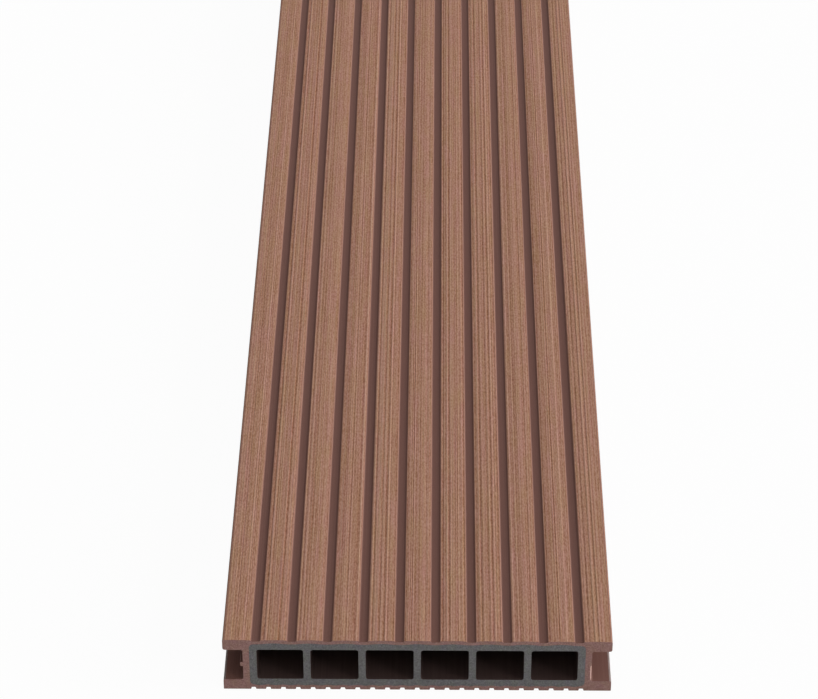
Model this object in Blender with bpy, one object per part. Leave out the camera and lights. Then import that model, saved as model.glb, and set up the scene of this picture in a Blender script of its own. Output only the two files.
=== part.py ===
"""A hollow composite deck board: a ribbed brown cap layer drawn around a grey core with six chambers.

Metres, +Z up. The board lies flat with its ribs up and its length along Y.
The origin is under the middle of the board, at the level of its lower face.
Both layers are extrusions, so each one is a flat section swept along the length.
"""

import math

import bpy
from mathutils import Vector

# Board
BOARD_LENGTH = 2.4
BOARD_WIDTH = 0.150
BOARD_THICKNESS = 0.025

# Walking face: shallow grooves that leave wide ribs between them
TOP_GROOVE_COUNT = 10
TOP_GROOVE_WIDTH = 0.0038
TOP_GROOVE_DEPTH = 0.0008
TOP_GROOVE_WALL_RUN = 0.00035
OUTER_RIB_WIDTH = 0.01085
RIB_EDGE_RADIUS = 0.00035
GROOVE_FLOOR_RADIUS = 0.0004

# Lower face: fine gripping grooves between two flat margins
UNDER_GROOVE_COUNT = 23
UNDER_GROOVE_WIDTH = 0.0020
UNDER_GROOVE_DEPTH = 0.0010
UNDER_GROOVE_WALL_RUN = 0.00025
UNDER_MARGIN = 0.0106
UNDER_EDGE_RADIUS = 0.00015

# Side channels that take the hidden clips
CHANNEL_DEPTH = 0.0078
UPPER_LIP = 0.0051
UPPER_LIP_SETBACK = 0.00015
LOWER_LIP = 0.0049
BOARD_EDGE_RADIUS = 0.0008
UPPER_LIP_RADIUS = 0.0009
LOWER_LIP_RADIUS = 0.0008
LOWER_EDGE_RADIUS = 0.0002
CHANNEL_FILLET = 0.0009

# Bead along the wall of the left channel
BEAD_HEIGHT = 0.0019
BEAD_REACH = 0.0011
BEAD_LEVEL = 0.01265
BEAD_RADIUS = 0.0004

# Cap layer over the core, thinner at the grooves than at the ribs
TOP_CAP = 0.0017
TOP_CAP_WAVE = 0.0005
UNDER_CAP = 0.0019
UNDER_CAP_WAVE = 0.0004
SIDE_CAP = 0.0025
CORE_CORNER_RADIUS = 0.0018
BOND_GAP = 0.0003

# Core: evenly spaced webs, so the two end chambers come out a little narrower
CHAMBER_COUNT = 6
WEB = 0.00275
WEB_PITCH = 0.02125
OUTER_WALL = 0.00285
TOP_WALL = 0.0049
UNDER_WALL = 0.0053
CHAMBER_RADIUS = 0.0010

# Fineness of the round stretches
ARC_STEPS = 4
FINE_ARC_STEPS = 2
TOP_WAVE_STEPS = 8
UNDER_WAVE_STEPS = 6
LARGEST_FILLET_SHARE = 0.45

# Colours, roughness
CAP_COLOUR = (0.300, 0.160, 0.112, 1.0)
CORE_COLOUR = (0.150, 0.147, 0.145, 1.0)
CAP_ROUGHNESS = 0.62
CORE_ROUGHNESS = 0.75

# Places worked out from the sizes above
HALF_WIDTH = BOARD_WIDTH / 2
UPPER_HALF_WIDTH = HALF_WIDTH - UPPER_LIP_SETBACK
CHANNEL_WALL = HALF_WIDTH - CHANNEL_DEPTH
CORE_HALF_WIDTH = CHANNEL_WALL - SIDE_CAP
TOP_PITCH = (2 * UPPER_HALF_WIDTH - 2 * OUTER_RIB_WIDTH - TOP_GROOVE_WIDTH) / (TOP_GROOVE_COUNT - 1)
UNDER_PITCH = (BOARD_WIDTH - 2 * UNDER_MARGIN - UNDER_GROOVE_WIDTH) / (UNDER_GROOVE_COUNT - 1)
LAST_CHAMBER_WALL = CORE_HALF_WIDTH - OUTER_WALL


def clear_scene():
    for obj in list(bpy.data.objects):
        bpy.data.objects.remove(obj, do_unlink=True)


def make_material(name, colour, roughness):
    material = bpy.data.materials.new(name)
    material.use_nodes = True
    shader = material.node_tree.nodes["Principled BSDF"]
    shader.inputs["Base Color"].default_value = colour
    shader.inputs["Roughness"].default_value = roughness
    shader.inputs["Metallic"].default_value = 0.0
    return material


def arc_at(before, corner, after, radius, steps):
    """Points that round one corner of an outline, with the arc kept within its two sides."""
    to_before = before - corner
    to_after = after - corner
    half_angle = to_before.angle(to_after) / 2
    shortest = min(to_before.length, to_after.length)
    reach = min(radius / math.tan(half_angle), LARGEST_FILLET_SHARE * shortest)
    fitted = reach * math.tan(half_angle)
    middle = (to_before.normalized() + to_after.normalized()).normalized()
    centre = corner + middle * (fitted / math.sin(half_angle))
    start = corner + to_before.normalized() * reach - centre
    end = corner + to_after.normalized() * reach - centre
    sweep = start.angle(end)
    points = []
    for step in range(steps + 1):
        turn = sweep * step / steps
        share_start = math.sin(sweep - turn) / math.sin(sweep)
        share_end = math.sin(turn) / math.sin(sweep)
        points.append(centre + start * share_start + end * share_end)
    return points


def rounded(corners):
    """An outline from corners given as x, z, radius and arc steps."""
    outline = []
    for index, (x, z, radius, steps) in enumerate(corners):
        corner = Vector((x, z))
        if radius == 0:
            outline.append(corner)
            continue
        before = Vector(corners[index - 1][:2])
        after = Vector(corners[(index + 1) % len(corners)][:2])
        outline.extend(arc_at(before, corner, after, radius, steps))
    return outline


def groove_centres(count, pitch):
    return [(index - (count - 1) / 2) * pitch for index in range(count)]


def walking_face():
    """Corners of the ribs and grooves on top, from left to right."""
    floor_half = TOP_GROOVE_WIDTH / 2 - TOP_GROOVE_WALL_RUN
    floor_level = BOARD_THICKNESS - TOP_GROOVE_DEPTH
    corners = [(-UPPER_HALF_WIDTH, BOARD_THICKNESS, BOARD_EDGE_RADIUS, ARC_STEPS)]
    for centre in groove_centres(TOP_GROOVE_COUNT, TOP_PITCH):
        mouth = TOP_GROOVE_WIDTH / 2
        corners.append((centre - mouth, BOARD_THICKNESS, RIB_EDGE_RADIUS, ARC_STEPS))
        corners.append((centre - floor_half, floor_level, GROOVE_FLOOR_RADIUS, ARC_STEPS))
        corners.append((centre + floor_half, floor_level, GROOVE_FLOOR_RADIUS, ARC_STEPS))
        corners.append((centre + mouth, BOARD_THICKNESS, RIB_EDGE_RADIUS, ARC_STEPS))
    corners.append((UPPER_HALF_WIDTH, BOARD_THICKNESS, BOARD_EDGE_RADIUS, ARC_STEPS))
    return corners


def right_channel():
    """Corners of the right clip channel, from the upper lip down to the lower lip."""
    roof = BOARD_THICKNESS - UPPER_LIP
    return [
        (UPPER_HALF_WIDTH, roof, UPPER_LIP_RADIUS, ARC_STEPS),
        (CHANNEL_WALL, roof, CHANNEL_FILLET, ARC_STEPS),
        (CHANNEL_WALL, LOWER_LIP, CHANNEL_FILLET, ARC_STEPS),
        (HALF_WIDTH, LOWER_LIP, LOWER_LIP_RADIUS, ARC_STEPS),
    ]


def lower_face():
    """Corners of the fine grooves underneath, from right to left."""
    mouth = UNDER_GROOVE_WIDTH / 2
    roof_half = mouth - UNDER_GROOVE_WALL_RUN
    corners = [(HALF_WIDTH, 0.0, LOWER_EDGE_RADIUS, FINE_ARC_STEPS)]
    for centre in reversed(groove_centres(UNDER_GROOVE_COUNT, UNDER_PITCH)):
        corners.append((centre + mouth, 0.0, UNDER_EDGE_RADIUS, FINE_ARC_STEPS))
        corners.append((centre + roof_half, UNDER_GROOVE_DEPTH, UNDER_EDGE_RADIUS, FINE_ARC_STEPS))
        corners.append((centre - roof_half, UNDER_GROOVE_DEPTH, UNDER_EDGE_RADIUS, FINE_ARC_STEPS))
        corners.append((centre - mouth, 0.0, UNDER_EDGE_RADIUS, FINE_ARC_STEPS))
    corners.append((-HALF_WIDTH, 0.0, LOWER_EDGE_RADIUS, FINE_ARC_STEPS))
    return corners


def left_channel():
    """Corners of the left clip channel, from the lower lip up, with the bead on its wall."""
    mirrored = [(-x, z, radius, steps) for x, z, radius, steps in reversed(right_channel())]
    bead_face = -CHANNEL_WALL - BEAD_REACH
    bead_bottom = BEAD_LEVEL - BEAD_HEIGHT / 2
    bead_top = BEAD_LEVEL + BEAD_HEIGHT / 2
    bead = [
        (-CHANNEL_WALL, bead_bottom, 0, 0),
        (bead_face, bead_bottom, BEAD_RADIUS, FINE_ARC_STEPS),
        (bead_face, bead_top, BEAD_RADIUS, FINE_ARC_STEPS),
        (-CHANNEL_WALL, bead_top, 0, 0),
    ]
    return mirrored[:2] + bead + mirrored[2:]


def board_outline():
    return rounded(walking_face() + right_channel() + lower_face() + left_channel())


def wave(x, pitch, count):
    """One under the middle of every groove and nought under the middle of every rib."""
    phase = (count - 1) / 2
    return (1 + math.cos(math.tau * (x / pitch - phase))) / 2


def wave_run(half_span, pitch, steps):
    """Even stations across the board, with the given number in each pitch."""
    count = max(2, round(2 * half_span / pitch * steps))
    return [half_span * (2 * index / count - 1) for index in range(count + 1)]


def quarter_arc(centre_x, centre_z, radius, first_turn):
    """Points between the ends of a quarter circle, run clockwise."""
    points = []
    for step in range(1, ARC_STEPS):
        angle = first_turn - math.pi / 2 * step / ARC_STEPS
        points.append(Vector((centre_x + radius * math.cos(angle), centre_z + radius * math.sin(angle))))
    return points


def bond_line(inset):
    """The wavy outline where the cap layer meets the core, drawn in by the inset."""
    half = CORE_HALF_WIDTH - inset
    radius = CORE_CORNER_RADIUS
    flat = half - radius

    def roof(x):
        drop = TOP_CAP + TOP_CAP_WAVE * wave(x, TOP_PITCH, TOP_GROOVE_COUNT)
        return BOARD_THICKNESS - drop - inset

    def floor(x):
        rise = UNDER_CAP + UNDER_CAP_WAVE * wave(x, UNDER_PITCH, UNDER_GROOVE_COUNT)
        return rise + inset

    outline = [Vector((x, roof(x))) for x in wave_run(flat, TOP_PITCH, TOP_WAVE_STEPS)]
    outline += quarter_arc(flat, roof(flat) - radius, radius, math.pi / 2)
    outline.append(Vector((half, roof(flat) - radius)))
    outline.append(Vector((half, floor(flat) + radius)))
    outline += quarter_arc(flat, floor(flat) + radius, radius, 0)
    outline += [Vector((-x, floor(-x))) for x in wave_run(flat, UNDER_PITCH, UNDER_WAVE_STEPS)]
    outline += quarter_arc(-flat, floor(-flat) + radius, radius, -math.pi / 2)
    outline.append(Vector((-half, floor(-flat) + radius)))
    outline.append(Vector((-half, roof(-flat) - radius)))
    outline += quarter_arc(-flat, roof(-flat) - radius, radius, math.pi)
    return outline


def chamber_outline(index):
    """One chamber between two webs, or between a web and the core's outer wall."""
    web_on_left = (index - CHAMBER_COUNT / 2) * WEB_PITCH
    left = max(web_on_left + WEB / 2, -LAST_CHAMBER_WALL)
    right = min(web_on_left + WEB_PITCH - WEB / 2, LAST_CHAMBER_WALL)
    ceiling = BOARD_THICKNESS - TOP_WALL
    return rounded([
        (left, ceiling, CHAMBER_RADIUS, ARC_STEPS),
        (right, ceiling, CHAMBER_RADIUS, ARC_STEPS),
        (right, UNDER_WALL, CHAMBER_RADIUS, ARC_STEPS),
        (left, UNDER_WALL, CHAMBER_RADIUS, ARC_STEPS),
    ])


def extrude_section(name, outlines, material, collection):
    """Sweep a section, its outer outline first and then its holes, along the whole board."""
    curve = bpy.data.curves.new(name, "CURVE")
    curve.dimensions = "2D"
    curve.fill_mode = "BOTH"
    curve.extrude = BOARD_LENGTH / 2
    for outline in outlines:
        spline = curve.splines.new("POLY")
        spline.points.add(len(outline) - 1)
        for point, place in zip(spline.points, outline):
            point.co = (place.x, place.y, 0.0, 1.0)
        spline.use_cyclic_u = True
    curve.materials.append(material)
    obj = bpy.data.objects.new(name, curve)
    obj.rotation_euler = (math.pi / 2, 0.0, 0.0)
    collection.objects.link(obj)
    return obj


def make_cap_layer(collection):
    material = make_material("brown composite", CAP_COLOUR, CAP_ROUGHNESS)
    return extrude_section("cap_layer", [board_outline(), bond_line(0.0)], material, collection)


def make_core(collection):
    material = make_material("grey composite", CORE_COLOUR, CORE_ROUGHNESS)
    chambers = [chamber_outline(index) for index in range(CHAMBER_COUNT)]
    return extrude_section("core", [bond_line(BOND_GAP)] + chambers, material, collection)


def main():
    clear_scene()
    collection = bpy.data.collections.new("composite deck board")
    bpy.context.scene.collection.children.link(collection)
    make_cap_layer(collection)
    make_core(collection)


main()
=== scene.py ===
# %% [markdown]
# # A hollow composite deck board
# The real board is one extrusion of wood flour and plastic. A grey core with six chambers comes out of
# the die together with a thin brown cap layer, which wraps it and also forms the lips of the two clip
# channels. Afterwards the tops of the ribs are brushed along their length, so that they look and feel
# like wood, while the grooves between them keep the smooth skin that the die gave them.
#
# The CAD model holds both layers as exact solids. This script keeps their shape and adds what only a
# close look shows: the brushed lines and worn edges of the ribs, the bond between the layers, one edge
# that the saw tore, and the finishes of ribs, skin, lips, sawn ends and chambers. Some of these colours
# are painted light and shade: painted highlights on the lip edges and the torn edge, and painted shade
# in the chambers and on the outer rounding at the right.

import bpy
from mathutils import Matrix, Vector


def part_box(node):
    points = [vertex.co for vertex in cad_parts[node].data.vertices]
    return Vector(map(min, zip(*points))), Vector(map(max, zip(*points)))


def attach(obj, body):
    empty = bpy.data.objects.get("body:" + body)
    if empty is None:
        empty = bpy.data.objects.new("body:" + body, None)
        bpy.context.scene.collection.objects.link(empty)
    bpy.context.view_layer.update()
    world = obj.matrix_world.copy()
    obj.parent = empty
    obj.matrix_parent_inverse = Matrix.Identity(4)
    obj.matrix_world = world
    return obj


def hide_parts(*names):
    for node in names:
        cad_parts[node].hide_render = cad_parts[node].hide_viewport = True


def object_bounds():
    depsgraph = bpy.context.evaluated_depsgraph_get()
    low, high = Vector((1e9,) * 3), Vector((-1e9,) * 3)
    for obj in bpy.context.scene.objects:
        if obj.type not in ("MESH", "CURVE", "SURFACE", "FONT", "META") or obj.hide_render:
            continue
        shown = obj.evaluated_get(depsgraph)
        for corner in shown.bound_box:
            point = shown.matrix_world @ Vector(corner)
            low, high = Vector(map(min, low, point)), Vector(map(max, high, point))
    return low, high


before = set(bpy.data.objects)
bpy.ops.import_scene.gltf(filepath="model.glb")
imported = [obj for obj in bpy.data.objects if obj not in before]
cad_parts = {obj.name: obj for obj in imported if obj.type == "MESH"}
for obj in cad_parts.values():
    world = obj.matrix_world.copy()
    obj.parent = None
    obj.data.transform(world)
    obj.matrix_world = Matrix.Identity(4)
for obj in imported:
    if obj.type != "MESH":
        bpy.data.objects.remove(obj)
cad_low, cad_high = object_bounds()
print("CAD nodes:", sorted(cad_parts))
print("CAD box in mm:", [round(1000 * side, 2) for side in cad_high - cad_low])

# %% [markdown]
# ## Where things are
# Blender counts in metres here. The length runs along Y, the ribs face up, and the board stands on the
# floor at height nought. The outer sizes could be typed in again, but they are read from the box of the
# packed board, so that they can't drift apart from it.

# %% The ends and the walking surface
import math

import bpy
from mathutils import Matrix, Vector

FRONT = cad_low.y
BACK = cad_high.y
WALKING_LEVEL = cad_high.z
print("the board is", round(BACK - FRONT, 3), "m long and", round(1000 * WALKING_LEVEL, 1), "mm thick")

# %% [markdown]
# ## One piece at a time
# An operator acts on everything that is selected, and loading leaves the CAD nodes selected. By hand
# one would clear the selection and click the piece. The first helper does the same, and the second
# also opens the piece in edit mode, where nothing in it is selected yet.

# %% Take up one piece
def only(piece):
    """Make one object the active and the only selected one."""
    if bpy.context.mode != "OBJECT":
        bpy.ops.object.mode_set(mode="OBJECT")
    bpy.ops.object.select_all(action="DESELECT")
    bpy.context.view_layer.objects.active = piece
    piece.select_set(True)


def edit(piece, mode):
    """Open one object in edit mode, in VERT, EDGE or FACE mode, with nothing selected."""
    only(piece)
    bpy.ops.object.mode_set(mode="EDIT")
    bpy.ops.mesh.select_mode(type=mode)
    bpy.ops.mesh.select_all(action="DESELECT")


def leave_edit():
    bpy.ops.object.mode_set(mode="OBJECT")


print("objects selected after loading:", len(bpy.context.selected_objects))

# %% [markdown]
# ## Selecting by place
# By hand one would click the faces of a rib or draw a box round an end. In a script the same choice is
# a question asked of each face or edge: where is it, and which way does it look? The flags are set in
# object mode, because edit mode works on its own copy of the mesh. Both helpers return how many they
# found, so that a wrong question shows at once.

# %% Select faces or edges by a question
def select_faces(piece, wanted):
    """Select the faces whose middle and normal pass the test, and leave edit mode open."""
    edit(piece, "FACE")
    leave_edit()
    chosen = [face for face in piece.data.polygons if wanted(face.center, face.normal)]
    for face in chosen:
        face.select = True
    bpy.ops.object.mode_set(mode="EDIT")
    return len(chosen)


def select_edges(piece, wanted):
    """Select the edges whose two ends pass the test, and leave edit mode open."""
    edit(piece, "EDGE")
    leave_edit()
    corners = piece.data.vertices
    count = 0
    for edge in piece.data.edges:
        first, second = edge.vertices
        edge.select = wanted(corners[first].co, corners[second].co)
        count += edge.select
    bpy.ops.object.mode_set(mode="EDIT")
    return count


core_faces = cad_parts["core"].data.polygons
print("faces of the packed core to choose from:", len(core_faces))

# %% [markdown]
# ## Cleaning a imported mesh
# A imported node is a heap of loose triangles. Merging the doubled corners closes it again. Its long walls
# would then still be slivers that run from end to end, which divide badly, so the two triangles of each
# flat wall are joined into one quad. The ends keep their triangles, because a flat face with holes
# can't be one quad. The normals stored for the loose triangles are dropped.

# %% Close a mesh and join its walls into quads
MERGE_DISTANCE = 0.000002
FLAT_ANGLE = math.radians(0.05)
FACES_AN_END = 0.9


def is_end(middle, normal):
    return abs(normal.y) > FACES_AN_END


def is_wall(middle, normal):
    return not is_end(middle, normal)


def clean_mesh(piece):
    edit(piece, "VERT")
    bpy.ops.mesh.select_all(action="SELECT")
    bpy.ops.mesh.remove_doubles(threshold=MERGE_DISTANCE)
    select_faces(piece, is_wall)
    bpy.ops.mesh.tris_convert_to_quads(face_threshold=FLAT_ANGLE, shape_threshold=math.pi)
    leave_edit()
    bpy.ops.mesh.customdata_custom_splitnormals_clear()


print("corners closer than", 1000 * MERGE_DISTANCE, "mm are merged")

# %% [markdown]
# ## Copies to work on
# The CAD nodes stay as they are, so each layer is copied, and the copy takes its place: it rides on the
# same body, uses the same material slot, and hides the node that it stands for. The copy begins as
# exactly the CAD solid, which is the surest way to stay inside its box.

# %% Copy both layers
def working_copy(node, name):
    """A closed copy of a CAD node, with quads along its walls."""
    piece = bpy.data.objects.new(name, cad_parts[node].data.copy())
    bpy.context.scene.collection.objects.link(piece)
    piece.data.name = name
    clean_mesh(piece)
    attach(piece, "root")
    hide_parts(node)
    print(name, "has", len(piece.data.vertices), "corners and", len(piece.data.polygons), "faces")
    return piece


cap = working_copy("cap_layer", "brushed_cap")
core = working_copy("core", "sawn_core")

# %% [markdown]
# ## The brushed ribs
# A steel brush runs along the board and takes the skin off the ribs. It leaves lines that keep their
# place across the rib for the whole length. A bump texture could draw them, but it would vanish in the
# exported mesh, so the lines are real relief, and relief needs corners to move. A rib top is one long
# face. Its long edges are divided first: a few stations are enough, because the lines hardly change
# along the board.

# %% Find the long edges of the rib tops and divide them
CELLS_ALONG_BOARD = 24
LEVEL_TOLERANCE = 0.00001
LONG_EDGE = 0.9 * (BACK - FRONT)


def on_top(point):
    return abs(point.z - WALKING_LEVEL) < LEVEL_TOLERANCE


def is_rib_edge(first, second):
    return on_top(first) and on_top(second) and abs(first.y - second.y) > LONG_EDGE


found = select_edges(cap, is_rib_edge)
bpy.ops.mesh.subdivide(number_cuts=CELLS_ALONG_BOARD - 1)
leave_edit()
print("long rib edges divided:", found)

# %% [markdown]
# ## Narrow cells across the ribs
# The first division has left lines that run across each rib top, and dividing these gives a grid. Across
# the rib a brushed line is less than a millimetre wide, and a tenth of a millimetre for each cell gives
# it a few corners down one side and up the other. A finer grid would show no more and weigh more.

# %% Divide the lines across the ribs
CELLS_ACROSS_RIB = 96


def is_line_across_rib(first, second):
    return on_top(first) and on_top(second) and abs(first.y - second.y) < LEVEL_TOLERANCE


found = select_edges(cap, is_line_across_rib)
bpy.ops.mesh.subdivide(number_cuts=CELLS_ACROSS_RIB - 1)
leave_edit()
print("lines across the ribs divided:", found)
print("the cap now has", len(cap.data.polygons), "faces")

# %% [markdown]
# ## A place on a rib
# Wear depends on where a point lies on its rib. The nine inner ribs repeat at one pitch, and the two
# outer ones are a little wider, because they end in the board's rounded sides. One small function turns
# any place across the board into a share: nought in the middle of a rib and one at its edges.

# %% Measure how far out on its rib a place is
RIB_PITCH = 0.0138
RIB_COUNT = 11
GROOVE_WIDTH = 0.0038
INNER_RIB_WIDTH = RIB_PITCH - GROOVE_WIDTH
OUTER_RIB_MIDDLE = 0.069425
OUTER_RIB_WIDTH = 0.01085


def from_rib_middle(x):
    """How far out on its rib a place is, from nought in the middle to one at the rib's edges."""
    number = round(x / RIB_PITCH)
    if abs(number) < RIB_COUNT // 2:
        return min(1.0, abs(x - number * RIB_PITCH) / (INNER_RIB_WIDTH / 2))
    return min(1.0, abs(abs(x) - OUTER_RIB_MIDDLE) / (OUTER_RIB_WIDTH / 2))


for x in (0.0, INNER_RIB_WIDTH / 4, RIB_PITCH / 2):
    print(round(1000 * x, 2), "mm from the board's middle the share is", round(from_rib_middle(x), 2))

# %% [markdown]
# ## Where the wear reaches
# A vertex group tells a modifier how strongly to move each corner. The wear group is full on the rib
# tops and fades out down the roundings to nothing on the groove floors, so that a rounding moves along
# with its rib and no step appears. Weight paint would do the same by hand, less evenly.

# %% Weights for the wear
GROOVE_DEPTH = 0.0008


def paint_weights(piece, name, weight_at):
    """A vertex group whose weights come from the place of each corner."""
    group = piece.vertex_groups.new(name=name)
    count = 0
    for corner in piece.data.vertices:
        weight = weight_at(corner.co)
        if weight > 0:
            group.add([corner.index], weight, "REPLACE")
            count += 1
    print("weights of", name, "on", count, "corners")


def height_share(place):
    """One on the rib tops, down to nought on the groove floors."""
    return max(0.0, (place.z - WALKING_LEVEL + GROOVE_DEPTH) / GROOVE_DEPTH)


paint_weights(cap, "wear", height_share)

# %% [markdown]
# ## How far the brush reaches down
# The same height decides later how brown a rounding is: worn at its top, and still in its skin at the
# bottom. The outer rounding on the right keeps only part of its wear, which is painted shade: it makes
# that rounding darker than all others in the same light. The numbers are noted now, while the ribs have
# their full height. A second vertex group could hold them, but a plain list is enough until they go into
# the mesh.

# %% Note how worn each corner is
RIGHT_ROUNDING_WIDTH = 0.0012
# Painted shade: the outer rounding on the right keeps only this share of its wear, so it renders darker.
RIGHT_ROUNDING_WEAR_AND_SHADE = 0.6


def wear_and_shade_share(place):
    """One where the brush has taken the skin off, and nought where it hasn't reached; lowered on the right
    outer rounding as painted shade.
    """
    share = min(1.0, height_share(place))
    if place.x > cad_high.x - RIGHT_ROUNDING_WIDTH:
        return share * RIGHT_ROUNDING_WEAR_AND_SHADE
    return share


wear_and_shade_shares = [wear_and_shade_share(corner.co) for corner in cap.data.vertices]
print("corners part way down a rounding:", sum(0 < share < 1 for share in wear_and_shade_shares))

# %% [markdown]
# ## Where the crown and the brush reach
# Brushing wears the edges of a rib more than its middle, so each rib ends up slightly crowned. That
# weight grows with the square of the share, which gives a round arch. The weight of the lines is one on
# the rib and falls to nought at its very edge, because the rounding beside it is made of long flat
# faces, which a wavy edge would crease.

# %% Weights for the crown and the lines
FADE_AT_EDGE = 0.08


def crown_weight(place):
    return height_share(place) * from_rib_middle(place.x) ** 2


def brush_weight(place):
    if not on_top(place):
        return 0.0
    return min(1.0, (1.0 - from_rib_middle(place.x)) / FADE_AT_EDGE)


paint_weights(cap, "crown", crown_weight)
paint_weights(cap, "brushed", brush_weight)

# %% [markdown]
# ## Wearing the ribs down
# A Displace modifier moves the corners of a vertex group along one axis. Pulling corners with the mouse
# could not hold steps of a few hundredths of a millimetre. The wear lowers the whole rib a little, which
# also leaves room for ridges under the height of the new board, and the crown lowers its edges.

# %% Lower the ribs and crown them
WEAR = 0.00008
CROWN = 0.00018


def lower(piece, name, group, depth, texture=None, ruler=None):
    """Lower the corners of a vertex group, evenly or up and down around nought by a texture."""
    only(piece)
    step = piece.modifiers.new(name, "DISPLACE")
    step.direction = "Z"
    step.vertex_group = group
    step.strength = -depth
    step.mid_level = 0.0
    if texture:
        step.mid_level = 0.5
        step.texture = texture
        step.texture_coords = "OBJECT"
        step.texture_coords_object = ruler
    bpy.ops.object.modifier_apply(modifier=name)


lower(cap, "wear", "wear", WEAR)
lower(cap, "crown", "crown", CROWN)
print("rib edges lie this many mm lower:", round(1000 * (WEAR + CROWN), 3))

# %% [markdown]
# ## Drawing the brushed lines
# The bristles press in grooves of chance width, which hardly change along the board. Cloud noise is such
# a chance pattern, but it is as long as it is wide. An empty serves as its ruler: thin across and metres
# long along the board, it draws the clouds out into lines. A broad set gives the lines that show from
# afar, and a fine set the grain between them.

# %% Draw the brush along the ribs
def heights(piece):
    return [corner.co.z for corner in piece.data.vertices]


def draw_lines(piece, name, line_width, line_length, depth):
    """Press in cloud noise that an empty, thin across and long along, draws out into lines."""
    bpy.ops.object.empty_add(location=(0.0, 0.0, 0.0))
    ruler = bpy.context.object
    ruler.scale = (line_width, line_length, 1.0)
    bpy.context.view_layer.update()
    clouds = bpy.data.textures.new(name, "CLOUDS")
    clouds.noise_scale = 1.0
    clouds.noise_depth = 1
    lower(piece, name, "brushed", depth, clouds, ruler)
    bpy.data.objects.remove(ruler)
    bpy.data.textures.remove(clouds)


smooth_heights = heights(cap)
draw_lines(cap, "brush lines", line_width=0.00085, line_length=20.0, depth=0.00022)
draw_lines(cap, "fine brush lines", line_width=0.00045, line_length=12.0, depth=0.00006)
depths = [before - after for before, after in zip(smooth_heights, heights(cap))]
print("deepest line in mm:", round(1000 * max(depths), 3), "highest ridge:", round(-1000 * min(depths), 3))

# %% [markdown]
# ## Telling the colours about the relief
# The bottoms of the lines hold dust and shade and look darker than the ridges. A material can't measure
# depth itself, so the script writes two numbers into each corner: how deep it lies in a line, and how
# worn it is. The materials read them later, and the colours then sit exactly on the relief.

# %% Keep the depth of the lines and the wear of the roundings
FULL_DEPTH = 0.00008


def write_values(piece, name, values):
    """Give each corner of the mesh a number that materials can read by its name."""
    layer = piece.data.attributes.new(name, "FLOAT", "POINT")
    for corner, value in zip(layer.data, values):
        corner.value = value
    print("wrote", name, "from", round(min(values), 2), "to", round(max(values), 2))


write_values(cap, "line_depth", [0.5 + 0.5 * depth / FULL_DEPTH for depth in depths])
write_values(cap, "worn", wear_and_shade_shares)

# %% [markdown]
# ## The bond between the layers
# In the die the two melts weld together, so no gap shows on the real cut end. The CAD keeps a gap of
# 0.3 mm there, because two solids may not touch. Joining both meshes into one would close it too, but
# each layer should stay a piece of its own. So the core grows: its outer walls are scaled across and up
# from the middle of the section. Its chambers stay as they are, because their walls lie inside the
# three limits.

# %% Close the bond line
BOND_GAP = 0.000295
BESIDE_CHAMBERS = 0.0624
ABOVE_CHAMBERS = 0.0211
BELOW_CHAMBERS = 0.0043


def is_outer_wall(middle, normal):
    beside = abs(middle.x) > BESIDE_CHAMBERS
    above = middle.z > ABOVE_CHAMBERS
    below = middle.z < BELOW_CHAMBERS
    return (beside or above or below) and not is_end(middle, normal)


core_low, core_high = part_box("core")
middle_height = (core_low.z + core_high.z) / 2
grow_across = 1 + BOND_GAP / core_high.x
grow_up = 1 + 2 * BOND_GAP / (core_high.z - core_low.z)
walls = select_faces(core, is_outer_wall)
bpy.ops.transform.resize(value=(grow_across, 1.0, grow_up), center_override=(0.0, 0.0, middle_height))
leave_edit()
print("outer walls moved out to the bond line:", walls)

# %% [markdown]
# ## A trace of the saw
# Where the saw came out of the wall of the right channel, it tore a narrow strip off the lower half of
# the edge, which shows as a thin pale line in the light from the right. A painted line would vanish from
# the side, so the strip is a real bevel: the edge is divided in the middle, and its lower half is
# bevelled once. Its finish is painted paler as well, a painted highlight on top of the real one.

# %% Bevel the lower front edge of the right channel's wall
CHANNEL_WALL = 0.0672
TORN_WIDTH = 0.0005


def is_saw_edge(first, second):
    in_front = abs(first.y - FRONT) < LEVEL_TOLERANCE and abs(second.y - FRONT) < LEVEL_TOLERANCE
    from_wall = max(abs(first.x - CHANNEL_WALL), abs(second.x - CHANNEL_WALL))
    return in_front and from_wall < LEVEL_TOLERANCE


def is_torn_half(first, second):
    return is_saw_edge(first, second) and (first.z + second.z) / 2 < WALKING_LEVEL / 2


select_edges(cap, is_saw_edge)
bpy.ops.mesh.subdivide(number_cuts=1)
leave_edit()
found = select_edges(cap, is_torn_half)
bpy.ops.mesh.bevel(offset=TORN_WIDTH, segments=1, affect="EDGES")
leave_edit()
print("torn edges bevelled:", found)

# %% [markdown]
# ## Colours
# A colour on a screen is a number from 0 to 255, and equal steps look equally large. A shader counts
# light instead, so each number is put through the screen's own curve first. The colours in this file
# were matched to the photograph. A helper makes shades of them in screen steps, because
# ten steps darker look the same on a pale rib as in a dark chamber.

# %% Write a colour the way a screen shows it
def paint(red, green, blue):
    """Shader colour values for a colour written as it shows on a screen, from 0 to 255."""
    # The numbers below are those of the sRGB curve: a short straight start, and then a power.
    values = []
    for channel in (red, green, blue):
        share = channel / 255
        values.append(share / 12.92 if share < 0.04045 else ((share + 0.055) / 1.055) ** 2.4)
    return (*values, 1.0)


def lighter(colour, steps):
    """The same colour some screen steps lighter, or darker for a number below nought."""
    return paint(*(channel + steps for channel in colour))


RIB = (167, 125, 104)
print("rib colour:", [round(value, 3) for value in paint(*RIB)[:3]])
print("ten steps darker:", [round(value, 3) for value in lighter(RIB, -10)[:3]])

# %% [markdown]
# ## Effects as node groups
# Three effects come back in several finishes: lines drawn out along the board, fine flour specks, and a
# slow drift of tint. Each is built once as a node group with named sockets, so that a finish only says
# how wide or how strong it wants it. The first helper makes an empty group.

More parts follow.
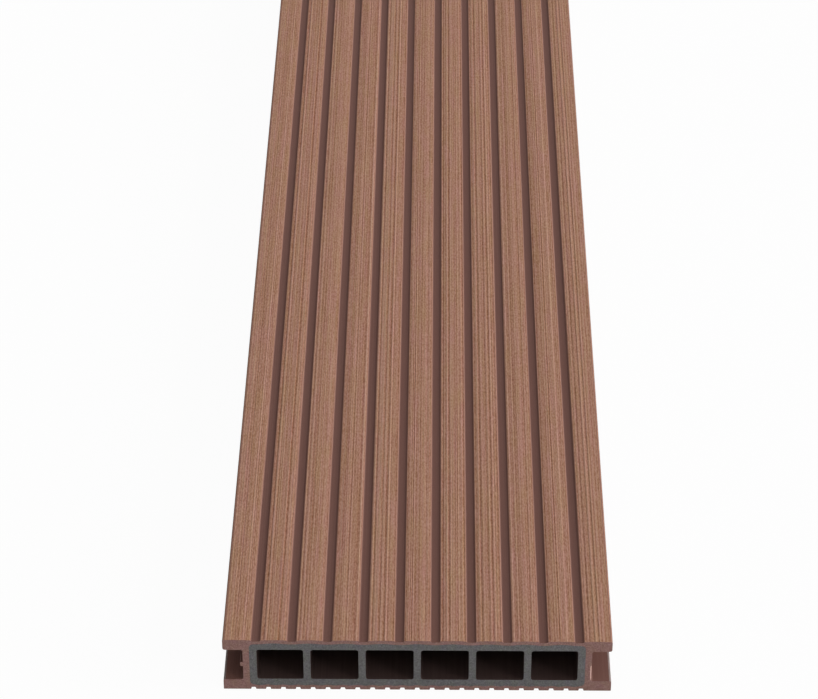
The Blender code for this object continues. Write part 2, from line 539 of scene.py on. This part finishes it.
# %% Start a node group
def new_effect(name, inputs, outputs):
    """An empty node group with its named sockets, given as kind, name and value."""
    tree = bpy.data.node_groups.new(name, "ShaderNodeTree")
    for kind, label, value in inputs:
        socket = tree.interface.new_socket(label, in_out="INPUT", socket_type=kind)
        if value is not None:
            socket.default_value = value
    for kind, label in outputs:
        tree.interface.new_socket(label, in_out="OUTPUT", socket_type=kind)
    print("node group", name, "takes", [label for kind, label, value in inputs])
    return tree, tree.nodes.new("NodeGroupInput"), tree.nodes.new("NodeGroupOutput")


# %% [markdown]
# ## Sums with nodes
# By hand one drags a link onto a socket or types a number into it, and the first helper does whichever
# fits. A Math node does one sum with two values. Placing and linking each by hand makes long lists, so
# the second helper does it in one call. A contrast is then three sums: take the middle away, multiply,
# and put the middle back.

# %% Helpers for sums
def feed(tree, socket, source):
    """Link another socket to this one, or type a plain value into it."""
    if isinstance(source, bpy.types.NodeSocket):
        tree.links.new(source, socket)
    else:
        socket.default_value = source


def maths(tree, operation, first, second):
    """A Math node whose two inputs are sockets or plain numbers."""
    node = tree.nodes.new("ShaderNodeMath")
    node.operation = operation
    feed(tree, node.inputs[0], first)
    feed(tree, node.inputs[1], second)
    return node.outputs[0]


def contrast(tree, value, amount):
    """Spread a value between 0 and 1 away from its middle."""
    centred = maths(tree, "SUBTRACT", value, 0.5)
    spread = maths(tree, "MULTIPLY", centred, amount)
    node = tree.nodes.new("ShaderNodeClamp")
    tree.links.new(maths(tree, "ADD", spread, 0.5), node.inputs[0])
    return node.outputs[0]


print("helpers for sums:", feed.__name__, maths.__name__, contrast.__name__)

# %% [markdown]
# ## Noise that is measured in metres
# Noise textures have a scale that says little about real size, and a Mapping node would need one over
# each size. Here the place on the board is divided by a width and a length first, and the noise has
# scale one. A line width typed into a socket is then a real size on the board, and a length much greater
# than the width draws the noise out into lines.

# %% Helpers for noise
def stretched(tree, place, width, length):
    """The place on the board counted in line widths across it and line lengths along it."""
    split = tree.nodes.new("ShaderNodeSeparateXYZ")
    tree.links.new(place, split.inputs[0])
    joined = tree.nodes.new("ShaderNodeCombineXYZ")
    for axis, size in zip("XYZ", (width, length, width)):
        tree.links.new(maths(tree, "DIVIDE", split.outputs[axis], size), joined.inputs[axis])
    return joined.outputs[0]


def noise(tree, vector, detail, roughness):
    node = tree.nodes.new("ShaderNodeTexNoise")
    node.inputs["Scale"].default_value = 1.0
    node.inputs["Detail"].default_value = detail
    node.inputs["Roughness"].default_value = roughness
    tree.links.new(vector, node.inputs["Vector"])
    return node.outputs["Fac"]


print("helpers for noise:", stretched.__name__, noise.__name__)

# %% [markdown]
# ## Effect: lines drawn out along the board
# Both the die and the brush leave lines along the board, of very different widths and lengths. A Wave
# texture would space them evenly, which no brush does, so they are drawn-out noise. One group serves for
# all of them, from a scratch that runs from end to end to a fibre of a millimetre.

# %% Make the drawn lines
def make_drawn_lines():
    inputs = [
        ("NodeSocketVector", "Place", None),
        ("NodeSocketFloat", "Line width", 0.001),
        ("NodeSocketFloat", "Line length", 0.2),
        ("NodeSocketFloat", "Contrast", 2.0),
    ]
    tree, given, result = new_effect("drawn lines", inputs, [("NodeSocketFloat", "Lines")])
    width = given.outputs["Line width"]
    place = stretched(tree, given.outputs["Place"], width, given.outputs["Line length"])
    lines = contrast(tree, noise(tree, place, detail=1.0, roughness=0.5), given.outputs["Contrast"])
    tree.links.new(lines, result.inputs["Lines"])
    return tree


drawn_lines = make_drawn_lines()

# %% [markdown]
# ## Effect: flour specks
# The composite is more than half wood flour, and its grains show as fine specks wherever the skin is
# cut or worn. Voronoi cells would give them hard outlines, so this is noise again. The specks are as long
# as they are wide, so one size is enough, and more detail in the noise breaks up their round shapes.

# %% Make the flour specks
def make_specks():
    inputs = [
        ("NodeSocketVector", "Place", None),
        ("NodeSocketFloat", "Size", 0.0005),
        ("NodeSocketFloat", "Contrast", 2.0),
    ]
    tree, given, result = new_effect("flour specks", inputs, [("NodeSocketFloat", "Specks")])
    place = stretched(tree, given.outputs["Place"], given.outputs["Size"], given.outputs["Size"])
    specks = contrast(tree, noise(tree, place, detail=2.0, roughness=0.7), given.outputs["Contrast"])
    tree.links.new(specks, result.inputs["Specks"])
    return tree


flour_specks = make_specks()

# %% [markdown]
# ## Mixing two colours
# A Mix node blends two colours by a share, or multiplies them. It has sockets for numbers, vectors and
# colours at once, and only those of the chosen kind show in the editor. A script has to count them all,
# so the helper holds the numbers of the colour sockets in one place.

# %% A helper for mixing colours
SHARE = 0
FIRST_COLOUR = 6
SECOND_COLOUR = 7
MIXED_COLOUR = 2


def mix_colours(tree, kind, share, first, second):
    """A Mix node for colours, whose share and colours are sockets or plain values."""
    node = tree.nodes.new("ShaderNodeMix")
    node.data_type = "RGBA"
    node.blend_type = kind
    feed(tree, node.inputs[SHARE], share)
    feed(tree, node.inputs[FIRST_COLOUR], first)
    feed(tree, node.inputs[SECOND_COLOUR], second)
    return node.outputs[MIXED_COLOUR]


print("helper for mixing:", mix_colours.__name__)

# %% [markdown]
# ## Effect: drift of tint
# No batch of flour has one colour. Patches of the brown lean towards rose, and others towards straw,
# at nearly the same lightness. The group multiplies a colour by one of two tints, and slow noise chooses
# between them, which leaves the light and dark of the other effects alone.

# %% Make the drift of tint
TINT_CONTRAST = 2.5
ROSE_TINT = (1.015, 0.985, 1.045, 1.0)
STRAW_TINT = (0.985, 1.01, 0.94, 1.0)


def make_drift():
    inputs = [
        ("NodeSocketVector", "Place", None),
        ("NodeSocketColor", "Colour", (0.5, 0.5, 0.5, 1.0)),
        ("NodeSocketFloat", "Patch width", 0.006),
        ("NodeSocketFloat", "Patch length", 0.03),
    ]
    tree, given, result = new_effect("tint drift", inputs, [("NodeSocketColor", "Colour")])
    width = given.outputs["Patch width"]
    place = stretched(tree, given.outputs["Place"], width, given.outputs["Patch length"])
    share = contrast(tree, noise(tree, place, detail=1.0, roughness=0.5), TINT_CONTRAST)
    tint = mix_colours(tree, "MIX", share, ROSE_TINT, STRAW_TINT)
    tinted = mix_colours(tree, "MULTIPLY", 1.0, given.outputs["Colour"], tint)
    tree.links.new(tinted, result.inputs["Colour"])
    return tree


tint_drift = make_drift()

# %% [markdown]
# ## Starting a finish
# All finishes are the same stuff, a plastic full of flour, which shines very little. So each starts from
# the same shader with the same low sheen, set on the shader itself. The effects are placed by a second
# helper, which feeds them the Object coordinates. These are fixed to the board, so that a pattern stays
# where it is from every side, and unlike a UV map they need no unwrapping.

# %% Start a finish and place effects in it
SHEEN_OF_PLASTIC = 0.06


def new_finish(name):
    """A material whose shader has the low sheen of filled plastic, with its node tree and shader."""
    material = bpy.data.materials.new(name)
    material.use_nodes = True
    tree = material.node_tree
    shader = tree.nodes["Principled BSDF"]
    shader.inputs["Specular IOR Level"].default_value = SHEEN_OF_PLASTIC
    tree.nodes.new("ShaderNodeTexCoord").name = "place on the board"
    print("finish:", name)
    return material, tree, shader


def effect(tree, group, **values):
    """Place a node group, feed it the place, and type or link its other values in."""
    node = tree.nodes.new("ShaderNodeGroup")
    node.node_tree = group
    tree.links.new(tree.nodes["place on the board"].outputs["Object"], node.inputs["Place"])
    for label, value in values.items():
        feed(tree, node.inputs[label.replace("_", " ")], value)
    return node.outputs[0]


# %% [markdown]
# ## From masks to a tone
# Each effect is a mask from nought to one. Their sum, around a half, is the tone of a point: how light
# or dark it is. A colour ramp turns the tone into a colour. Most finishes only need shades of one
# colour, evenly darker and lighter, and a second helper makes these.

# %% Add masks up and turn a tone into a colour
def add_up(tree, parts):
    """One tone around a half, from masks and the share that each has in it."""
    tone = 0.5
    for mask, share in parts:
        centred = maths(tree, "SUBTRACT", mask, 0.5)
        tone = maths(tree, "ADD", maths(tree, "MULTIPLY", centred, share), tone)
    return tone


def ramp(tree, tone, dark, middle, bright):
    """Three shader colours for a tone of nought, a half and one, and all between."""
    node = tree.nodes.new("ShaderNodeValToRGB")
    node.color_ramp.elements[0].color = dark
    node.color_ramp.elements[1].color = bright
    node.color_ramp.elements.new(0.5).color = middle
    tree.links.new(tone, node.inputs[0])
    return node.outputs[0]


def shades(tree, tone, colour, steps):
    """The colour, some screen steps darker where the tone is nought and lighter where it is one."""
    return ramp(tree, tone, lighter(colour, -steps), paint(*colour), lighter(colour, steps))


print("helpers for colour:", add_up.__name__, ramp.__name__, shades.__name__)

# %% [markdown]
# ## Relief and roughness
# The finest texture, a few hundredths of a millimetre deep, is too small for the mesh, and a Bump node
# tilts the light on it instead. Roughness follows the same masks: a ridge that the brush has rubbed is a
# little smoother than the pit beside it. The last helper links both and hands the material over.

# %% Link the relief, the colour and the roughness
def between(tree, share, at_nought, at_one):
    """Turn a share from 0 to 1 into a value between two others."""
    return maths(tree, "ADD", maths(tree, "MULTIPLY", share, at_one - at_nought), at_nought)


def bump(tree, shader, height, depth):
    """Tilt the light by a height mask whose full range is a depth in metres."""
    node = tree.nodes.new("ShaderNodeBump")
    node.inputs["Distance"].default_value = depth
    tree.links.new(height, node.inputs["Height"])
    tree.links.new(node.outputs[0], shader.inputs["Normal"])


def colour_and_roughness(tree, shader, colour, roughness):
    tree.links.new(colour, shader.inputs["Base Color"])
    tree.links.new(roughness, shader.inputs["Roughness"])


print("helpers for the surface:", between.__name__, bump.__name__, colour_and_roughness.__name__)

# %% [markdown]
# ## Finish: the brushed rib tops
# The brush has cut through the skin, so the ribs show the lighter brown of the composite itself. Their
# tone adds up five masks: the depth written into the mesh, lines from end to end, streaks as long as a
# finger, dashes as long as a fingernail, and short fibres. Round specks would look like pepper as fibres.
# Pits are much darker than the composite and ridges only a little lighter, so the
# ramp gets three colours of its own. The tint drifts twice, in narrow streaks and in broad patches.

# %% Make the brushed rib tops
RIB_PIT = (118, 70, 44)
RIB_RIDGE = (194, 155, 137)


def written(tree, name):
    """A number that was written into the mesh, corner by corner."""
    node = tree.nodes.new("ShaderNodeAttribute")
    node.attribute_name = name
    return node.outputs["Fac"]


def make_brushed():
    material, tree, shader = new_finish("brushed brown composite")
    pits = written(tree, "line_depth")
    lines = effect(tree, drawn_lines, Line_width=0.0006, Line_length=20.0, Contrast=1.6)
    streaks = effect(tree, drawn_lines, Line_width=0.0004, Line_length=0.05, Contrast=1.6)
    dashes = effect(tree, drawn_lines, Line_width=0.00035, Line_length=0.012, Contrast=1.6)
    fibres = effect(tree, drawn_lines, Line_width=0.0005, Line_length=0.0015, Contrast=1.8)
    tone = add_up(tree, [(pits, -0.56), (lines, 0.4), (streaks, 0.24), (dashes, 0.15), (fibres, 0.46)])
    colour = ramp(tree, tone, paint(*RIB_PIT), paint(*RIB), paint(*RIB_RIDGE))
    colour = effect(tree, tint_drift, Colour=colour, Patch_width=0.0012, Patch_length=0.06)
    colour = effect(tree, tint_drift, Colour=colour, Patch_width=0.004, Patch_length=0.015)
    bump(tree, shader, add_up(tree, [(dashes, 1.0), (fibres, 0.6)]), depth=0.00002)
    colour_and_roughness(tree, shader, colour, between(tree, tone, at_nought=0.8, at_one=0.6))
    return material


brushed_brown = make_brushed()

# %% [markdown]
# ## Finish: the shoulders of the ribs
# The brush fades out over the rounding between a rib and its groove. A hard line between two materials
# would look like a paint edge, so this finish holds both colours and blends them by the wear that was
# written into the mesh, from dark skin at the bottom to worn brown at the top. The wear is squared,
# because the bristles hardly reach the lower half.

# %% Make the worn shoulders
SHOULDER = (157, 118, 102)
SKIN = (111, 79, 71)


def make_shoulder():
    material, tree, shader = new_finish("worn brown shoulder")
    lines = effect(tree, drawn_lines, Line_width=0.0004, Line_length=0.6, Contrast=1.5)
    specks = effect(tree, flour_specks, Size=0.0004, Contrast=1.5)
    tone = add_up(tree, [(lines, 0.5), (specks, 0.5)])
    low = shades(tree, tone, SKIN, steps=8)
    high = shades(tree, tone, SHOULDER, steps=12)
    # The written wear is lowered on the right outer rounding, which paints shade there.
    wear = written(tree, "worn")
    colour = mix_colours(tree, "MIX", maths(tree, "MULTIPLY", wear, wear), low, high)
    bump(tree, shader, specks, depth=0.00001)
    colour_and_roughness(tree, shader, colour, between(tree, lines, at_nought=0.6, at_one=0.7))
    return material


shoulder_brown = make_shoulder()

# %% [markdown]
# ## Finish: the smooth skin
# Groove floors, channel walls, outer sides and the underside keep the skin that the die pressed on
# them. It is darker and closed, with faint drag lines along the board. One plain colour would look like
# paint from near by, so the lines are kept, with a low contrast and a relief of a hundredth of a
# millimetre.

# %% Make the smooth skin
def make_skin():
    material, tree, shader = new_finish("smooth brown skin")
    lines = effect(tree, drawn_lines, Line_width=0.0006, Line_length=0.9, Contrast=1.5)
    specks = effect(tree, flour_specks, Size=0.0006, Contrast=1.5)
    tone = add_up(tree, [(lines, 0.5), (specks, 0.4)])
    bump(tree, shader, lines, depth=0.00001)
    colour = shades(tree, tone, SKIN, steps=8)
    colour_and_roughness(tree, shader, colour, between(tree, lines, at_nought=0.5, at_one=0.6))
    return material


smooth_brown = make_skin()

# %% [markdown]
# ## Finish: the painted highlight on the lower lips' edges
# The upper outer roundings of the lower lips are painted pale and grey, a painted highlight that stands
# in for the sheen of the smooth skin in the light. A Bevel node or the pointiness of the mesh would find
# edges for such a mark, but it would find every edge alike. Here the faces of just these roundings get
# their own finish.

# %% Make the painted highlight on the lip edges
# Painted highlight: a pale grey colour on the lip roundings stands in for the sheen of the skin there.
LIP_EDGE_HIGHLIGHT = (133, 119, 115)


def make_lip_highlight():
    material, tree, shader = new_finish("lip edge, painted highlight")
    lines = effect(tree, drawn_lines, Line_width=0.0004, Line_length=0.05, Contrast=1.8)
    specks = effect(tree, flour_specks, Size=0.0006, Contrast=1.8)
    tone = add_up(tree, [(lines, 0.6), (specks, 0.6)])
    bump(tree, shader, specks, depth=0.00001)
    colour = shades(tree, tone, LIP_EDGE_HIGHLIGHT, steps=12)
    colour_and_roughness(tree, shader, colour, between(tree, specks, at_nought=0.6, at_one=0.75))
    return material


lip_edge_highlight = make_lip_highlight()

# %% [markdown]
# ## Finish: the sawn ends
# A saw cuts straight through flour and plastic and leaves them dull and mottled. Brown cap and grey core
# are cut by the same saw, so one function makes both, and only the colour differs. Two sizes of specks
# stand for coarse and fine flour. The torn strip gets the same finish in a paler colour, which is a
# painted highlight.

# %% Make the sawn brown, the sawn grey and the painted highlight of the torn edge
SAWN_BROWN = (151, 117, 110)
SAWN_GREY = (113, 112, 112)
# Painted highlight: the torn strip is painted paler than the sawn brown.
TORN_EDGE_HIGHLIGHT = (178, 145, 135)


def make_sawn(name, cut_colour):
    material, tree, shader = new_finish(name)
    specks = effect(tree, flour_specks, Size=0.0007, Contrast=1.8)
    grit = effect(tree, flour_specks, Size=0.00035, Contrast=1.8)
    tone = add_up(tree, [(specks, 0.8), (grit, 0.6)])
    colour = shades(tree, tone, cut_colour, steps=20)
    colour = effect(tree, tint_drift, Colour=colour, Patch_width=0.003, Patch_length=0.003)
    bump(tree, shader, add_up(tree, [(specks, 1.0), (grit, 0.8)]), depth=0.00004)
    colour_and_roughness(tree, shader, colour, between(tree, specks, at_nought=0.85, at_one=0.75))
    return material


sawn_brown = make_sawn("sawn brown composite", SAWN_BROWN)
sawn_grey = make_sawn("sawn grey composite", SAWN_GREY)
torn_edge_highlight = make_sawn("torn edge, painted highlight", TORN_EDGE_HIGHLIGHT)

# %% [markdown]
# ## Finish: the chamber skin and its painted shade
# Inside the chambers the skin is smooth, and its colour is painted dark brown, far darker than the grey
# core, as painted shade for the depth of the chambers. Little light gets in, so faint drag lines are all
# that can be seen, and one mask is enough.

# %% Make the chamber skin with its painted shade
# Painted shade: this colour is far darker than the grey core, standing in for the shade deep in the
# chambers.
CHAMBER_SHADE = (67, 53, 50)


def make_chamber_shade():
    material, tree, shader = new_finish("chamber skin, painted shade")
    lines = effect(tree, drawn_lines, Line_width=0.0008, Line_length=0.9, Contrast=1.5)
    bump(tree, shader, lines, depth=0.00001)
    colour = shades(tree, lines, CHAMBER_SHADE, steps=5)
    colour_and_roughness(tree, shader, colour, between(tree, lines, at_nought=0.5, at_one=0.6))
    return material


chamber_skin_and_shade = make_chamber_shade()

# %% [markdown]
# ## Giving each face its finish
# By hand one would select faces and press Assign for each slot. The script asks a rule instead, which
# looks at the place and direction of a face and names its finish. For the core the rule is short: its
# two ends are sawn, and all the rest is skin.

# %% Give the core its finishes
def give_finishes(piece, finishes, finish_of):
    """Fill the material slots, and point each face at the finish that the rule names."""
    piece.data.materials.clear()
    for material in finishes:
        piece.data.materials.append(material)
    for face in piece.data.polygons:
        face.material_index = finishes.index(finish_of(face))
    for number, material in enumerate(finishes):
        count = sum(face.material_index == number for face in piece.data.polygons)
        print(material.name, "on", count, "faces of", piece.name)


def core_finish(face):
    if is_end(face.center, face.normal):
        return sawn_grey
    return chamber_skin_and_shade


give_finishes(core, [sawn_grey, chamber_skin_and_shade], core_finish)

# %% [markdown]
# ## Places on the cap
# The cap has six finishes, so its rule needs names for a few places. A rib top faces up near the walking
# level, and a shoulder is what else lies less than 0.6 mm below it. The rounding of a lower lip is known
# by its height and by how near it is to the outer side, and the torn edge by its slant: it looks half
# forward and half sideways, as no other face does.

# %% Questions for the faces of the cap
RIB_TOP_DROP = 0.00055
RIB_TOP_FACES_UP = 0.85
SHOULDER_DROP = 0.00060
LIP_LEVEL = 0.0049
LIP_ROUNDING = 0.0008
FACES_HALF_FORWARD = 0.5


def is_rib_top(face):
    is_cell = len(face.vertices) == 4 and face.normal.z > RIB_TOP_FACES_UP
    return is_cell and face.center.z > WALKING_LEVEL - RIB_TOP_DROP


def is_shoulder(face):
    return face.center.z > WALKING_LEVEL - SHOULDER_DROP


def is_lip_rounding(face):
    at_side = abs(face.center.x) > cad_high.x - LIP_ROUNDING
    at_level = LIP_LEVEL - LIP_ROUNDING < face.center.z < LIP_LEVEL
    return at_side and at_level and face.normal.z > 0


def is_torn(face):
    return FACES_HALF_FORWARD < abs(face.normal.y) < FACES_AN_END


print("rib cells:", sum(is_rib_top(face) for face in cap.data.polygons))

# %% [markdown]
# ## The finishes of the cap
# The rule asks its questions in order and stops at the first yes. Ends come first, because the saw went
# through every other place, and the smooth skin is what is left when all questions are answered no.

# %% Give the cap its finishes
def cap_finish(face):
    if is_end(face.center, face.normal):
        return sawn_brown
    if is_torn(face):
        return torn_edge_highlight
    if is_lip_rounding(face):
        return lip_edge_highlight
    if is_rib_top(face):
        return brushed_brown
    if is_shoulder(face):
        return shoulder_brown
    return smooth_brown


cap_finishes = [brushed_brown, smooth_brown, sawn_brown, shoulder_brown, lip_edge_highlight, torn_edge_highlight]
give_finishes(cap, cap_finishes, cap_finish)

# %% [markdown]
# ## Smooth roundings, crisp edges
# A rounding of a few flat faces looks faceted, while a sawn edge must stay sharp. Smoothing by angle
# does both: where two faces meet at less than 35 degrees the light flows over them, and where they meet
# at more the edge stays crisp.

# %% Smooth the shading
SMOOTH_ANGLE = math.radians(35)
for piece in (cap, core):
    only(piece)
    bpy.ops.object.shade_smooth_by_angle(angle=SMOOTH_ANGLE)
    print("smoothed", piece.name)

# %% [markdown]
# ## The camera
# The photograph looks down on the front end, with the ribs running away to a point far above. Place,
# turn, dip and roll were worked out from the corners of the board, which all lie where they do in the
# photograph only for one camera. It is built up as by hand: turned about the upright, dipped from level,
# and rolled a trace about its own line of sight.

# %% Place the camera
CAMERA_PLACE = Vector((0.00661, -2.07056, 0.78191))
CAMERA_TURN = math.radians(0.629)
CAMERA_DIP = math.radians(35.457)
CAMERA_ROLL = math.radians(-0.110)
LENS = 132.00
SENSOR_WIDTH = 36.0

bpy.ops.object.camera_add(location=CAMERA_PLACE)
camera = bpy.context.object
camera.name = "camera"
camera.data.lens = LENS
camera.data.sensor_width = SENSOR_WIDTH
turn = Matrix.Rotation(CAMERA_TURN, 4, "Z")
dip = Matrix.Rotation(math.pi / 2 - CAMERA_DIP, 4, "X")
roll = Matrix.Rotation(CAMERA_ROLL, 4, "Z")
camera.matrix_world = Matrix.Translation(CAMERA_PLACE) @ turn @ dip @ roll
bpy.context.scene.camera = camera
print("the camera stands", round(FRONT - CAMERA_PLACE.y, 3), "m in front of the board")

# %% [markdown]
# ## A white that lights nothing
# The background is white, but a white floor lit to that level would throw far too much light on the
# board. The Light Path node tells the rays apart: those that the camera sees, directly or in a
# reflection or through glass, find a glowing white, and those that carry light to the board find a
# plain pale floor.

# %% Tell apart what is seen and what lights
def shown_share(tree):
    """One for the rays of the camera and of reflections, and nought for the light on the object."""
    path = tree.nodes.new("ShaderNodeLightPath")
    seen = maths(tree, "MAXIMUM", path.outputs["Is Camera Ray"], path.outputs["Is Glossy Ray"])
    return maths(tree, "MAXIMUM", seen, path.outputs["Is Transmission Ray"])


print("helper for seen rays:", shown_share.__name__)

# %% [markdown]
# ## The floor
# The floor is one large plane under the board. A studio's paper sweep would curve up behind it, but here
# the world behind is as white as the floor, so no edge shows. A small share of the floor stays an
# ordinary lit surface even for the camera, and this share shows the board's soft shadow, as faint as it
# is in the photograph.

# %% Lay the floor
FLOOR_SIZE = 40.0
WHITE_SHARE = 0.96
PALE = (0.8, 0.8, 0.8, 1.0)

bpy.ops.mesh.primitive_plane_add(size=FLOOR_SIZE, location=(0.0, 0.0, 0.0))
floor = bpy.context.object
floor.name = "floor"
floor_paint = bpy.data.materials.new("pale floor")
floor_paint.use_nodes = True
tree = floor_paint.node_tree
lit = tree.nodes["Principled BSDF"]
lit.inputs["Base Color"].default_value = PALE
lit.inputs["Roughness"].default_value = 1.0
lit.inputs["Specular IOR Level"].default_value = 0.0
glow = tree.nodes.new("ShaderNodeEmission")
blend = tree.nodes.new("ShaderNodeMixShader")
tree.links.new(maths(tree, "MULTIPLY", shown_share(tree), WHITE_SHARE), blend.inputs[0])
tree.links.new(lit.outputs[0], blend.inputs[1])
tree.links.new(glow.outputs[0], blend.inputs[2])
tree.links.new(blend.outputs[0], tree.nodes["Material Output"].inputs["Surface"])
floor.data.materials.append(floor_paint)
print("floor of", FLOOR_SIZE, "m, of which this share shows light and shadow:", round(1 - WHITE_SHARE, 2))

# %% [markdown]
# ## The lamps
# In the photograph the light comes mostly from the right, low and soft: the right shoulders of the ribs
# are light, their left ones lie in shade, and so does the left channel. One lamp can't do this without
# hard shadows, so six wide suns share the work. A sun shines alike on the whole board, which an area
# lamp would not do over 2.4 m. Together they light it so that a colour renders about as written.

# %% Set up the suns
SUN_DISTANCE = 3.0


def sun(name, toward, strength, softness):
    """A soft sun that shines on the board from a direction; its distance changes nothing."""
    bpy.ops.object.light_add(type="SUN", location=Vector(toward) * SUN_DISTANCE)
    lamp = bpy.context.object
    lamp.name = name
    lamp.data.energy = strength
    lamp.data.angle = math.radians(softness)
    lamp.rotation_mode = "QUATERNION"
    lamp.rotation_quaternion = Vector(toward).to_track_quat("Z", "Y")
    print("sun", name, "with strength", strength)


sun("low right", (0.995, 0.0, 0.105), strength=0.57, softness=16)
sun("right", (0.966, 0.0, 0.259), strength=1.42, softness=20)
sun("behind right", (0.720, 0.604, 0.342), strength=1.21, softness=24)
sun("front right", (0.750, -0.433, 0.500), strength=0.81, softness=24)
sun("in front", (0.0, -0.643, 0.766), strength=0.37, softness=40)
sun("overhead", (0.0, 0.0, 1.0), strength=0.45, softness=40)

# %% [markdown]
# ## The air
# A studio's walls throw back a little light from all sides, which softens what the suns leave dark. More
# lamps all round could do this, but the world does it evenly and with one number: it is white where it
# is seen, and less than a fifth of that where it lights the board.

# %% Light the air
AIR_LIGHT = 0.18

world = bpy.data.worlds.new("studio")
bpy.context.scene.world = world
world.use_nodes = True
tree = world.node_tree
air = tree.nodes["Background"]
air.inputs["Color"].default_value = (1.0, 1.0, 1.0, 1.0)
strength = maths(tree, "ADD", maths(tree, "MULTIPLY", shown_share(tree), 1.0 - AIR_LIGHT), AIR_LIGHT)
tree.links.new(strength, air.inputs["Strength"])
bpy.context.scene.view_settings.view_transform = "Standard"
print("light of the air:", AIR_LIGHT)
